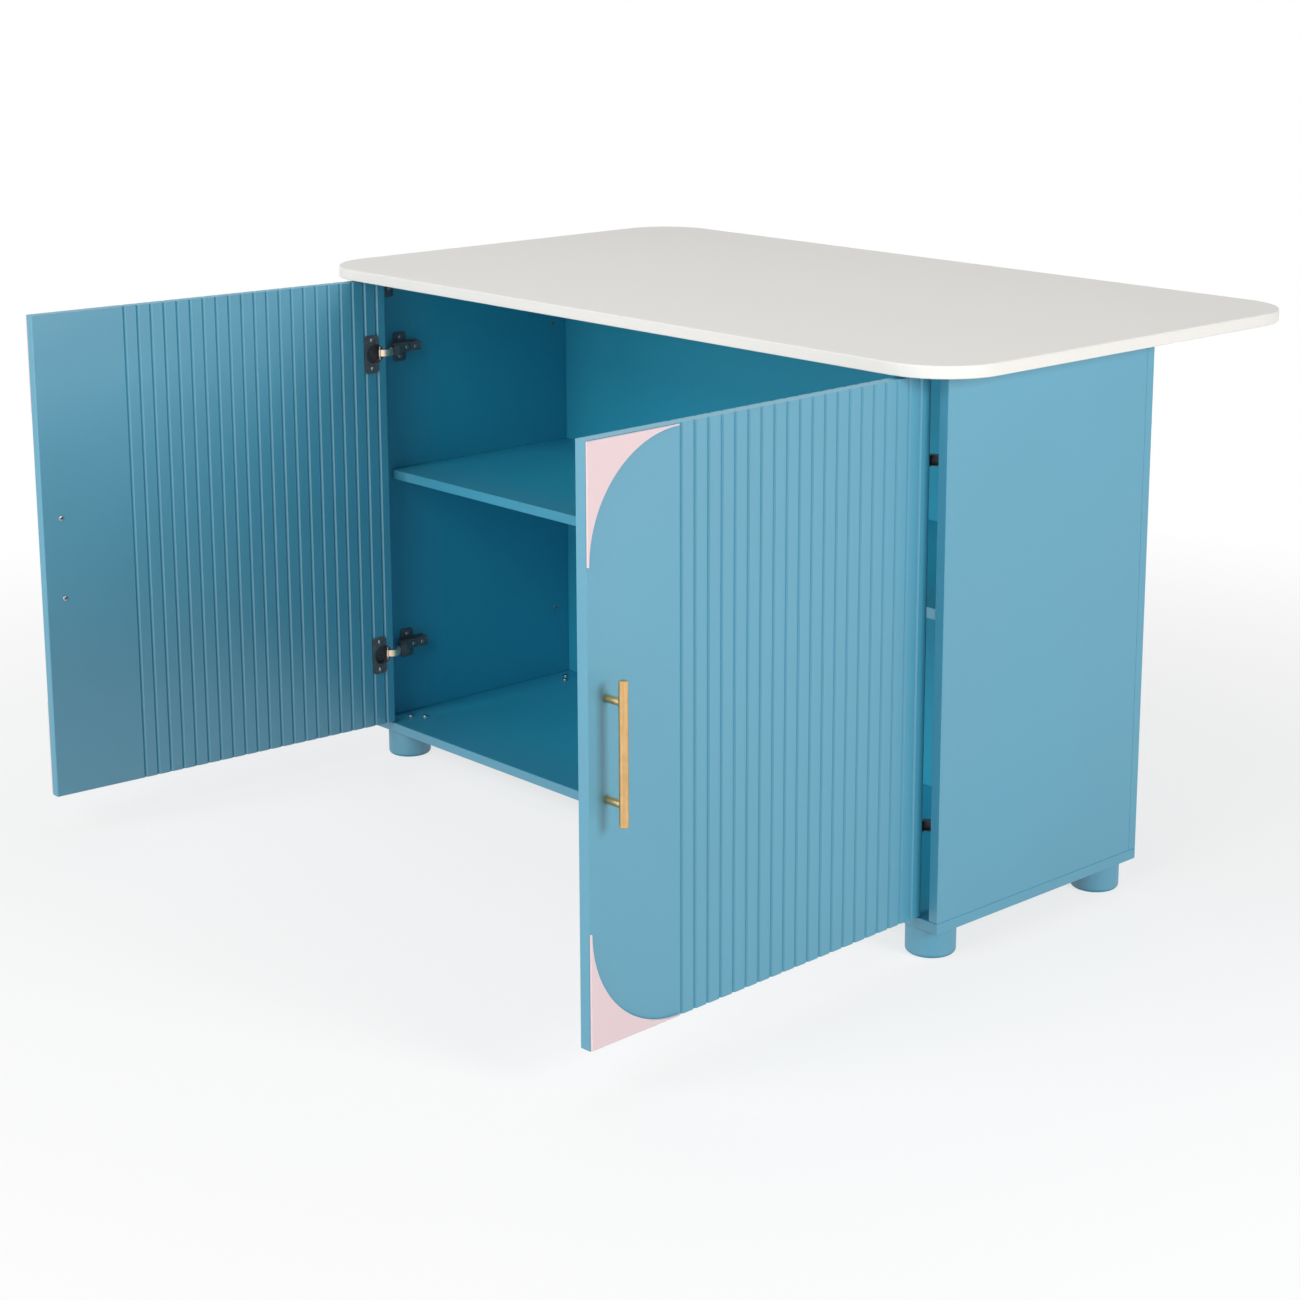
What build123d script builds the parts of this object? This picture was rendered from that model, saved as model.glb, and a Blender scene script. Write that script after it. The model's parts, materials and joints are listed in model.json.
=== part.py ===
# Kitchen counter cabinet: a board carcass on round feet with two grooved inset doors on concealed hinges,
# under a wide worktop. Sizes are in millimetres. +X is right, +Y is towards the back, +Z is up, and the
# floor is z = 0. The doors are modelled open, and the origin is under the middle of the box they then fill.

import os
from math import cos, radians, sin

from build123d import *

os.makedirs("parts", exist_ok=True)

# Worktop
worktop_length = 1400.0
worktop_depth = 800.0
worktop_thickness = 18.0
worktop_corner_radius = 100.0
worktop_edge_radius = 2.0
worktop_front_overhang = 62.0
worktop_side_overhang = 52.0
worktop_height = 850.0

# Carcass boards
carcass_depth = 442.0
board_thickness = 16.0
board_edge_chamfer = 0.8

# Feet and their bolts; bolt spots run from the foot's centre towards the middle of the carcass
foot_diameter = 72.0
foot_height = 45.0
foot_edge_radius = 6.0
foot_end_inset = 45.0
foot_face_inset = 38.0
foot_bolt_spots = ((-4.0, 7.0), (14.0, 24.0))
foot_bolt_diameter = 6.0
foot_bolt_bite = 22.0
foot_bolt_head_diameter = 10.0
foot_bolt_head_height = 2.5

# Shelf and its pins
shelf_top = 496.0
shelf_setback = 36.0
shelf_side_gap = 0.5
shelf_back_gap = 1.0
shelf_pin_diameter = 5.0
shelf_pin_reach = 9.0
shelf_pin_sink = 9.0
shelf_pin_inset = 50.0

# Carcass fasteners
barrel_diameter = 10.0
barrel_length = 12.0
barrel_back_inset = 29.0
barrel_end_inset = 125.0
back_bolt_diameter = 6.0
back_bolt_head_diameter = 13.0
back_bolt_head_height = 2.0
back_bolt_overrun = 3.0
bottom_screw_diameter = 5.0
bottom_screw_head_diameter = 9.0
bottom_screw_head_height = 3.0
bottom_screw_bite = 34.0
bottom_screw_inset = 60.0
bottom_screw_back_spacing = 640.0

# Worktop brackets
bracket_leg = 40.0
bracket_width = 15.0
bracket_thickness = 2.0
bracket_face_inset = 38.0
bracket_hole_reach = 26.0

# Doors
door_thickness = 18.0
door_side_gap = 3.0
door_centre_gap = 3.0
door_bottom_gap = 2.5
door_top_gap = 3.5
door_edge_radius = 2.0
right_door_angle = 92.0
left_door_angle = 94.4

# Door grooves, counted from the hinge edge
groove_width = 6.0
groove_depth = 2.5
outer_groove_count = 20
outer_groove_start = 21.6
outer_groove_pitch = 23.55
inner_groove_count = 21
inner_groove_start = 17.3
inner_groove_pitch = 22.8

# Raised corner pieces on the doors
corner_reach = 152.5
corner_arc_radius = 150.0
corner_thickness = 3.0
corner_edge_inset = 1.0

# Handles
handle_bar_diameter = 12.0
handle_bar_length = 184.0
handle_bar_chamfer = 1.0
handle_post_diameter = 10.0
handle_post_spacing = 128.0
handle_stand_off = 30.0
handle_edge_inset = 31.0
handle_screw_diameter = 4.0
handle_screw_bite = 10.0
handle_screw_head_diameter = 8.5
handle_screw_head_height = 2.2

# Small wood screws for hinges and brackets
screw_diameter = 3.5
screw_head_diameter = 7.0
screw_head_height = 1.8
screw_bite = 11.0

# Hinge pivots. The link turns by link_ratio degrees for each degree that the door opens.
hinge_end_inset = 123.0
link_ratio = -0.87
arm_pivot_inset = 35.0
arm_pivot_depth = 15.0
cup_pivot_edge = 10.0
cup_pivot_sink = 3.5
hinge_pin_diameter = 3.0

# Hinge link
link_thickness = 1.8
link_height = 11.0
link_bow = 7.2
link_eye_diameter = 5.4

# Hinge cup; its distances along the door are from the hinge edge
cup_centre_edge = 22.0
cup_diameter = 35.0
cup_wall = 1.0
cup_floor = 0.8
cup_inner_depth = 12.0
cup_bore_spare = 0.2
cup_notch_depth = 4.0
cup_notch_width = 5.0
cup_notch_side_gap = 1.0
flange_start_edge = 16.0
flange_width = 26.0
flange_height = 64.0
flange_thickness = 1.2
flange_corner_radius = 6.0
flange_screw_edge = 28.0
flange_screw_spacing = 48.0

# Hinge arm and mounting plate; depths are from the carcass front
arm_sheet = 1.5
arm_side_gap = 0.5
arm_nose_diameter = 6.8
arm_web_start = 3.2
arm_neck_length = 14.0
arm_neck_inner_length = 9.0
arm_web_height = 16.0
arm_crank_depth = 44.0
arm_cheek_depth = 40.0
arm_tail_depth = 92.0
arm_screw_depths = (62.0, 80.0)
arm_screw_diameter = 4.0
arm_screw_head_diameter = 7.0
arm_screw_head_height = 1.6
arm_screw_bite = 7.0
plate_thickness = 2.0
plate_front_depth = 42.0
plate_strip_height = 19.0
plate_wing_front_depth = 44.0
plate_wing_width = 26.0
plate_wing_height = 50.0
plate_wing_corner_radius = 5.0
plate_screw_depth = 57.0
plate_screw_spacing = 32.0
plate_block_front_depth = 52.0

# Clearances
screw_clearance = 0.1
bore_clearance = 0.15
pin_clearance = 0.05
link_clearance = 0.15
seat_clearance = 0.2
saddle_clearance = 0.05

# Heights and widths that follow from the sizes above
carcass_width = worktop_length - 2 * worktop_side_overhang
carcass_half = carcass_width / 2
inner_half = carcass_half - board_thickness
worktop_underside = worktop_height - worktop_thickness
bottom_panel_top = foot_height + board_thickness
side_depth = carcass_depth - board_thickness
panel_height = worktop_underside - bottom_panel_top
door_bottom = bottom_panel_top + door_bottom_gap
door_height = worktop_underside - door_top_gap - door_bottom
door_width = inner_half - door_side_gap - door_centre_gap / 2
door_mid_height = door_bottom + door_height / 2
hinge_heights = {"upper": door_bottom + door_height - hinge_end_inset, "lower": door_bottom + hinge_end_inset}
hands = {"left": -1, "right": 1}
door_angles = {"left": left_door_angle, "right": right_door_angle}

# Hinge motion, on the right hand, with y counted from the carcass front
arm_pivot = Vector(inner_half - arm_pivot_inset, arm_pivot_depth)
closed_corner = Vector(inner_half - door_side_gap, 0)
closed_cup_pivot = closed_corner + Vector(-cup_pivot_edge, door_thickness - cup_pivot_sink)
closed_link = closed_cup_pivot - arm_pivot


def cup_pivot(opening):
    """Where the pin in the door's cup lies at this opening."""
    return arm_pivot + closed_link.rotate(Axis.Z, link_ratio * opening)


def hinge_corner(opening):
    """Where the outer corner of the door's hinge edge lies at this opening."""
    return cup_pivot(opening) + (closed_corner - closed_cup_pivot).rotate(Axis.Z, opening)


def front_reach(opening):
    """The lowest y of the eased free edge of a door at this opening."""
    inner = Vector(door_edge_radius - door_width, door_thickness - door_edge_radius)
    outer = Vector(door_edge_radius - door_width, door_edge_radius)
    lowest = min(inner.rotate(Axis.Z, opening).Y, outer.rotate(Axis.Z, opening).Y)
    return hinge_corner(opening).Y + lowest - door_edge_radius


worktop_back = worktop_depth - worktop_front_overhang
open_front = min(front_reach(right_door_angle), front_reach(left_door_angle), -worktop_front_overhang)
front_y = -(worktop_back + open_front) / 2


def plan(side, inward, depth):
    """A plan point: inward from the side panel's inner face, and back from the carcass front."""
    return (hands[side] * (inner_half - inward), front_y + depth)


def side_face(side, depth, height, inward=0.0):
    """A plane on the side panel's inner face: x to the back, normal to the middle of the cabinet."""
    x, y = plan(side, inward, depth)
    return Plane((x, y, height), x_dir=(0, 1, 0), z_dir=(-hands[side], 0, 0))


def door_axes(side):
    """The directions along the door from its hinge edge, and out of its outer face."""
    turn = radians(door_angles[side])
    along = Vector(-hands[side] * cos(turn), -sin(turn), 0)
    outward = Vector(hands[side] * sin(turn), -cos(turn), 0)
    return along, outward


def door_point(side, along_door, out, height):
    """A point on a door: along it from the hinge edge, out from its outer face, and up from the floor."""
    along, outward = door_axes(side)
    corner = hinge_corner(door_angles[side])
    start = Vector(hands[side] * corner.X, front_y + corner.Y, height)
    return start + along * along_door + outward * out


def outer_face(side, along_door, height, out=0.0):
    """A plane on a door's outer face: x along the door, normal out of the face."""
    along, outward = door_axes(side)
    return Plane(door_point(side, along_door, out, height), x_dir=along, z_dir=outward)


def inner_face(side, along_door, height, out=0.0):
    """A plane on a door's inner face: x along the door, normal into the cabinet."""
    along, outward = door_axes(side)
    return Plane(door_point(side, along_door, -door_thickness - out, height), x_dir=along, z_dir=-outward)


def write(piece, name):
    """Label a finished piece and write it to its own file."""
    piece.part.label = name
    export_step(piece.part, f"parts/{name}.step")


def screw(plane, shank_diameter, shank_length, head_diameter, head_height):
    """Add a screw whose head sits on the plane and whose shank runs against the plane's normal."""
    with BuildSketch(plane) as shank:
        Circle(shank_diameter / 2)
    extrude(shank.sketch, amount=-shank_length)
    with BuildSketch(plane) as head:
        Circle(head_diameter / 2)
    extrude(head.sketch, amount=head_height)


def drill(plane, diameter, depth):
    """Cut a round hole from the plane against its normal."""
    with BuildSketch(plane) as mouth:
        Circle(diameter / 2)
    extrude(mouth.sketch, amount=-depth, mode=Mode.SUBTRACT)


# Places shared by the boards, the brackets and the fasteners
bracket_depths = {"front": bracket_face_inset, "back": side_depth - bracket_face_inset}
barrel_heights = (bottom_panel_top + barrel_end_inset, worktop_underside - barrel_end_inset)
barrel_depth = side_depth - barrel_back_inset
board_mid = board_thickness / 2
shelf_depth = side_depth - shelf_back_gap - shelf_setback
shelf_underside = shelf_top - board_thickness
shelf_pin_height = shelf_underside - shelf_pin_diameter / 2
shelf_pin_depths = (shelf_setback + shelf_pin_inset, shelf_setback + shelf_depth - shelf_pin_inset)
bottom_screw_depths = (bottom_screw_inset, side_depth - bottom_screw_inset)
foot_depths = {"front": foot_face_inset, "back": carcass_depth - foot_face_inset}
foot_inwards = foot_end_inset - board_thickness

bottom_screw_points = []
for side in hands:
    for depth in bottom_screw_depths:
        bottom_screw_points.append(plan(side, -board_mid, depth))
for side, hand in hands.items():
    bottom_screw_points.append((hand * bottom_screw_back_spacing / 2, front_y + carcass_depth - board_mid))

foot_bolt_points = []
for side in hands:
    for end, depth in foot_depths.items():
        towards_middle = 1 if end == "front" else -1
        for across, back in foot_bolt_spots:
            foot_bolt_points.append(plan(side, foot_inwards + across, depth + towards_middle * back))

# Worktop, with pilot holes for the bracket screws in its underside
with BuildPart() as worktop:
    with BuildSketch(Plane((0, front_y + worktop_back - worktop_depth / 2, worktop_underside))):
        RectangleRounded(worktop_length, worktop_depth, worktop_corner_radius)
    extrude(amount=worktop_thickness)
    rims = worktop.edges().group_by(Axis.Z)
    fillet(rims[0] + rims[-1], worktop_edge_radius)
    for side in hands:
        for depth in bracket_depths.values():
            x, y = plan(side, bracket_hole_reach, depth)
            underside = Plane((x, y, worktop_underside), x_dir=(1, 0, 0), z_dir=(0, 0, -1))
            drill(underside, screw_diameter + 2 * screw_clearance, screw_bite)
write(worktop, "worktop")

# Bottom panel, which carries the upright boards and stands on the feet
with BuildPart() as bottom_panel:
    with BuildSketch(Plane((0, front_y + carcass_depth / 2, foot_height))):
        Rectangle(carcass_width, carcass_depth)
    extrude(amount=board_thickness)
    chamfer(bottom_panel.edges(), board_edge_chamfer)
    for x, y in foot_bolt_points:
        drill(Plane((x, y, bottom_panel_top)), foot_bolt_diameter + 2 * screw_clearance, board_thickness)
    for x, y in bottom_screw_points:
        drill(Plane((x, y, bottom_panel_top)), bottom_screw_diameter + 2 * screw_clearance, board_thickness)
        sunk_head = Plane((x, y, foot_height + bottom_screw_head_height + seat_clearance))
        drill(
            sunk_head,
            bottom_screw_head_diameter + 2 * screw_clearance,
            bottom_screw_head_height + seat_clearance,
        )
write(bottom_panel, "bottom_panel")

# Side panels, drilled for hinge plates, brackets, shelf pins, barrel nuts and bolts
for side in hands:
    with BuildPart() as side_panel:
        x, y = plan(side, -board_mid, side_depth / 2)
        with BuildSketch(Plane((x, y, bottom_panel_top))):
            Rectangle(board_thickness, side_depth)
        extrude(amount=panel_height)
        chamfer(side_panel.edges(), board_edge_chamfer)
        for height in hinge_heights.values():
            for up in (-plate_screw_spacing / 2, plate_screw_spacing / 2):
                pilot = side_face(side, plate_screw_depth, height + up)
                drill(pilot, screw_diameter + 2 * screw_clearance, screw_bite)
        for depth in bracket_depths.values():
            pilot = side_face(side, depth, worktop_underside - bracket_hole_reach)
            drill(pilot, screw_diameter + 2 * screw_clearance, screw_bite)
        for depth in shelf_pin_depths:
            socket = side_face(side, depth, shelf_pin_height)
            drill(socket, shelf_pin_diameter + 2 * pin_clearance, shelf_pin_sink + seat_clearance)
        for height in barrel_heights:
            barrel_bore = side_face(side, barrel_depth, height)
            drill(barrel_bore, barrel_diameter + 2 * bore_clearance, barrel_length + seat_clearance)
            x, y = plan(side, -board_mid, side_depth)
            bolt_bore = Plane((x, y, height), x_dir=(1, 0, 0), z_dir=(0, 1, 0))
            bolt_room = barrel_back_inset + barrel_diameter / 2 + back_bolt_overrun + seat_clearance
            drill(bolt_bore, back_bolt_diameter + 2 * bore_clearance, bolt_room)
        for depth in bottom_screw_depths:
            x, y = plan(side, -board_mid, depth)
            pilot = Plane((x, y, bottom_panel_top), x_dir=(1, 0, 0), z_dir=(0, 0, -1))
            drill(pilot, bottom_screw_diameter + 2 * screw_clearance, bottom_screw_bite)
    write(side_panel, f"{side}_side_panel")

# Back panel, which covers the rear edges of the side panels
with BuildPart() as back_panel:
    with BuildSketch(Plane((0, front_y + side_depth + board_mid, bottom_panel_top))):
        Rectangle(carcass_width, board_thickness)
    extrude(amount=panel_height)
    chamfer(back_panel.edges(), board_edge_chamfer)
    for side in hands:
        for height in barrel_heights:
            x, y = plan(side, -board_mid, carcass_depth)
            bolt_bore = Plane((x, y, height), x_dir=(1, 0, 0), z_dir=(0, 1, 0))
            drill(bolt_bore, back_bolt_diameter + 2 * bore_clearance, board_thickness)
    for x, y in bottom_screw_points[-len(hands):]:
        pilot = Plane((x, y, bottom_panel_top), x_dir=(1, 0, 0), z_dir=(0, 0, -1))
        drill(pilot, bottom_screw_diameter + 2 * screw_clearance, bottom_screw_bite)
write(back_panel, "back_panel")

# Shelf and the four pins it lies on
with BuildPart() as shelf:
    with BuildSketch(Plane((0, front_y + shelf_setback + shelf_depth / 2, shelf_underside))):
        Rectangle(2 * (inner_half - shelf_side_gap), shelf_depth)
    extrude(amount=board_thickness)
    chamfer(shelf.edges(), board_edge_chamfer)
write(shelf, "shelf")

with BuildPart() as shelf_pins:
    for side in hands:
        for depth in shelf_pin_depths:
            with BuildSketch(side_face(side, depth, shelf_pin_height, shelf_pin_reach)):
                Circle(shelf_pin_diameter / 2)
            extrude(amount=-(shelf_pin_reach + shelf_pin_sink))
write(shelf_pins, "shelf_pins")

# Feet, softly rounded at the floor
for end, depth in foot_depths.items():
    for side in hands:
        with BuildPart() as foot:
            x, y = plan(side, foot_inwards, depth)
            with BuildSketch(Plane((x, y, 0))):
                Circle(foot_diameter / 2)
            extrude(amount=foot_height)
            fillet(foot.edges().group_by(Axis.Z)[0], foot_edge_radius)
            fillet(foot.edges().group_by(Axis.Z)[-1], board_edge_chamfer)
            towards_middle = 1 if end == "front" else -1
            for across, back in foot_bolt_spots:
                x, y = plan(side, foot_inwards + across, depth + towards_middle * back)
                drill(
                    Plane((x, y, foot_height)),
                    foot_bolt_diameter + 2 * screw_clearance,
                    foot_bolt_bite + seat_clearance,
                )
        write(foot, f"foot_{end}_{side}")

# Carcass fasteners
with BuildPart() as foot_bolts:
    for x, y in foot_bolt_points:
        screw(
            Plane((x, y, bottom_panel_top)),
            foot_bolt_diameter,
            board_thickness + foot_bolt_bite,
            foot_bolt_head_diameter,
            foot_bolt_head_height,
        )
write(foot_bolts, "foot_bolts")

with BuildPart() as bottom_screws:
    for x, y in bottom_screw_points:
        head_seat = foot_height + bottom_screw_head_height
        screw(
            Plane((x, y, head_seat), x_dir=(1, 0, 0), z_dir=(0, 0, -1)),
            bottom_screw_diameter,
            board_thickness - bottom_screw_head_height + bottom_screw_bite - seat_clearance,
            bottom_screw_head_diameter,
            bottom_screw_head_height,
        )
write(bottom_screws, "bottom_screws")

with BuildPart() as barrel_nuts:
    for side in hands:
        for height in barrel_heights:
            with BuildSketch(side_face(side, barrel_depth, height)):
                Circle(barrel_diameter / 2)
            extrude(amount=-barrel_length)
            x, y = plan(side, -board_mid, side_depth)
            thread = Plane((x, y, height), x_dir=(1, 0, 0), z_dir=(0, 1, 0))
            drill(thread, back_bolt_diameter + 2 * screw_clearance, barrel_back_inset + barrel_diameter)
write(barrel_nuts, "barrel_nuts")

with BuildPart() as back_bolts:
    for side in hands:
        for height in barrel_heights:
            x, y = plan(side, -board_mid, carcass_depth)
            screw(
                Plane((x, y, height), x_dir=(1, 0, 0), z_dir=(0, 1, 0)),
                back_bolt_diameter,
                board_thickness + barrel_back_inset + barrel_diameter / 2 + back_bolt_overrun,
                back_bolt_head_diameter,
                back_bolt_head_height,
            )
write(back_bolts, "back_bolts")

# Angle brackets between the side panels and the worktop
for end, depth in bracket_depths.items():
    for side, hand in hands.items():
        with BuildPart() as bracket:
            x, y = plan(side, 0, depth)
            corner = Plane((x, y, worktop_underside), x_dir=(-hand, 0, 0), z_dir=(0, 1, 0))
            with BuildSketch(corner):
                with BuildLine():
                    Polyline(
                        (0, 0),
                        (bracket_leg, 0),
                        (bracket_leg, -hand * bracket_thickness),
                        (bracket_thickness, -hand * bracket_thickness),
                        (bracket_thickness, -hand * bracket_leg),
                        (0, -hand * bracket_leg),
                        close=True,
                    )
                make_face()
            extrude(amount=bracket_width / 2, both=True)
            upright = side_face(side, depth, worktop_underside - bracket_hole_reach, bracket_thickness)
            drill(upright, screw_diameter + 2 * screw_clearance, bracket_thickness)
            x, y = plan(side, bracket_hole_reach, depth)
            level = Plane((x, y, worktop_underside))
            drill(level, screw_diameter + 2 * screw_clearance, bracket_thickness)
        write(bracket, f"worktop_bracket_{end}_{side}")

with BuildPart() as bracket_screws:
    for side in hands:
        for depth in bracket_depths.values():
            x, y = plan(side, bracket_hole_reach, depth)
            overhead = Plane(
                (x, y, worktop_underside - bracket_thickness), x_dir=(1, 0, 0), z_dir=(0, 0, -1)
            )
            upright = side_face(side, depth, worktop_underside - bracket_hole_reach, bracket_thickness)
            for seat in (overhead, upright):
                screw(
                    seat,
                    screw_diameter,
                    bracket_thickness + screw_bite - seat_clearance,
                    screw_head_diameter,
                    screw_head_height,
                )
write(bracket_screws, "bracket_screws")

# Hinge plates: a cross-shaped base with a block that the arm straddles
arm_cheek_inner = link_height / 2 + arm_side_gap
arm_half_height = arm_cheek_inner + arm_sheet
web_mid_inset = arm_web_height - arm_sheet / 2
plate_block_height = 2 * (arm_cheek_inner - seat_clearance)
plate_block_rise = arm_web_height - arm_sheet - seat_clearance

for side in hands:
    for level, height in hinge_heights.items():
        with BuildPart() as plate:
            with BuildSketch(side_face(side, 0, height)):
                with Locations(((plate_front_depth + arm_tail_depth) / 2, 0)):
                    Rectangle(arm_tail_depth - plate_front_depth, plate_strip_height)
                with Locations((plate_wing_front_depth + plate_wing_width / 2, 0)):
                    RectangleRounded(plate_wing_width, plate_wing_height, plate_wing_corner_radius)
                with Locations(
                    (plate_screw_depth, -plate_screw_spacing / 2),
                    (plate_screw_depth, plate_screw_spacing / 2),
                ):
                    Circle(screw_diameter / 2 + screw_clearance, mode=Mode.SUBTRACT)
            extrude(amount=plate_thickness)
            with BuildSketch(side_face(side, 0, height)):
                with Locations(((plate_block_front_depth + arm_tail_depth) / 2, 0)):
                    Rectangle(arm_tail_depth - plate_block_front_depth, plate_block_height)
            extrude(amount=plate_block_rise)
            for depth in arm_screw_depths:
                thread = side_face(side, depth, height, plate_block_rise)
                drill(thread, arm_screw_diameter + 2 * screw_clearance, arm_screw_bite)
        write(plate, f"{side}_{level}_hinge_plate")

with BuildPart() as plate_screws:
    for side in hands:
        for height in hinge_heights.values():
            for up in (-plate_screw_spacing / 2, plate_screw_spacing / 2):
                screw(
                    side_face(side, plate_screw_depth, height + up, plate_thickness),
                    screw_diameter,
                    plate_thickness + screw_bite - seat_clearance,
                    screw_head_diameter,
                    screw_head_height,
                )
write(plate_screws, "plate_screws")

# Hinge arms: two cheeks joined by a bent web, cranked round the hinge edge of the open door
nose = arm_nose_diameter / 2
web_line = (
    (arm_pivot_inset + nose - arm_sheet / 2, arm_pivot_depth + arm_web_start),
    (arm_pivot_inset + nose - arm_sheet / 2, arm_pivot_depth + arm_neck_length),
    (web_mid_inset, arm_crank_depth),
    (web_mid_inset, arm_tail_depth),
)
cheek_line = (
    (plate_thickness, arm_tail_depth),
    (plate_thickness, arm_cheek_depth),
    (arm_pivot_inset - nose, arm_pivot_depth + arm_neck_inner_length),
    (arm_pivot_inset - nose, arm_pivot_depth),
)

for side in hands:
    for level, height in hinge_heights.items():
        web_points = [plan(side, inward, depth) for inward, depth in web_line]
        cheek_points = [plan(side, inward, depth) for inward, depth in cheek_line]
        nose_tip = plan(side, arm_pivot_inset, arm_pivot_depth - nose)
        nose_end = plan(side, arm_pivot_inset + nose, arm_pivot_depth)
        with BuildPart() as arm:
            with BuildSketch(Plane.XY.offset(height)):
                with BuildLine():
                    Polyline(nose_end, *web_points, *cheek_points)
                    ThreePointArc(cheek_points[-1], nose_tip, nose_end)
                make_face()
                with Locations(plan(side, arm_pivot_inset, arm_pivot_depth)):
                    Circle(hinge_pin_diameter / 2 + pin_clearance, mode=Mode.SUBTRACT)
            extrude(amount=arm_half_height, both=True)
            with BuildSketch(Plane.XY.offset(height)):
                with BuildLine():
                    Polyline(nose_end, *web_points, *cheek_points)
                    ThreePointArc(cheek_points[-1], nose_tip, nose_end)
                make_face()
            extrude(amount=arm_cheek_inner, both=True, mode=Mode.SUBTRACT)
            with BuildSketch(Plane.XY.offset(height)):
                with BuildLine():
                    Polyline(*web_points)
                trace(line_width=arm_sheet)
                with Locations(*web_points[1:-1]):
                    Circle(arm_sheet / 2)
            extrude(amount=arm_half_height, both=True)
            for depth in arm_screw_depths:
                hole = side_face(side, depth, height, arm_web_height)
                drill(hole, arm_screw_diameter + 2 * screw_clearance, 2 * arm_sheet)
        write(arm, f"{side}_{level}_hinge_arm")

with BuildPart() as arm_screws:
    for side in hands:
        for height in hinge_heights.values():
            for depth in arm_screw_depths:
                screw(
                    side_face(side, depth, height, arm_web_height),
                    arm_screw_diameter,
                    arm_sheet + arm_screw_bite,
                    arm_screw_head_diameter,
                    arm_screw_head_height,
                )
write(arm_screws, "arm_screws")

with BuildPart() as arm_pins:
    for side in hands:
        for height in hinge_heights.values():
            x, y = plan(side, arm_pivot_inset, arm_pivot_depth)
            with BuildSketch(Plane((x, y, height))):
                Circle(hinge_pin_diameter / 2)
            extrude(amount=arm_half_height, both=True)
write(arm_pins, "arm_pins")

# Hinge links: a bowed strip with an eye at each pin, clear of the door's edge as it swings
for side, hand in hands.items():
    start = arm_pivot
    end = cup_pivot(door_angles[side])
    bow_side = (end - start).normalized().rotate(Axis.Z, -90)
    bow_point = (start + end) / 2 + bow_side * link_bow
    eye_points = [(hand * point.X, front_y + point.Y) for point in (start, end)]
    bow_spot = (hand * bow_point.X, front_y + bow_point.Y)
    spine = ThreePointArc(eye_points[0], bow_spot, eye_points[1])
    for level, height in hinge_heights.items():
        with BuildPart() as link:
            with BuildSketch(Plane.XY.offset(height)):
                SlotArc(spine, link_thickness)
                with Locations(*eye_points):
                    Circle(link_eye_diameter / 2)
                with Locations(*eye_points):
                    Circle(hinge_pin_diameter / 2 + link_clearance, mode=Mode.SUBTRACT)
            extrude(amount=link_height / 2, both=True)
        write(link, f"{side}_{level}_hinge_link")

# Doors and everything that swings with them
cup_radius = cup_diameter / 2
cup_inner_radius = cup_radius - cup_wall
cup_depth = cup_inner_depth + cup_floor
cup_pin_far_offset = cup_centre_edge - cup_pivot_edge + hinge_pin_diameter / 2
cup_pin_length = 2 * (cup_radius**2 - cup_pin_far_offset**2) ** 0.5
flange_mid_edge = flange_start_edge + flange_width / 2
handle_edge = door_width - handle_edge_inset
handle_post_heights = (door_mid_height - handle_post_spacing / 2, door_mid_height + handle_post_spacing / 2)
flange_screw_rises = (-flange_screw_spacing / 2, flange_screw_spacing / 2)

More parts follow.
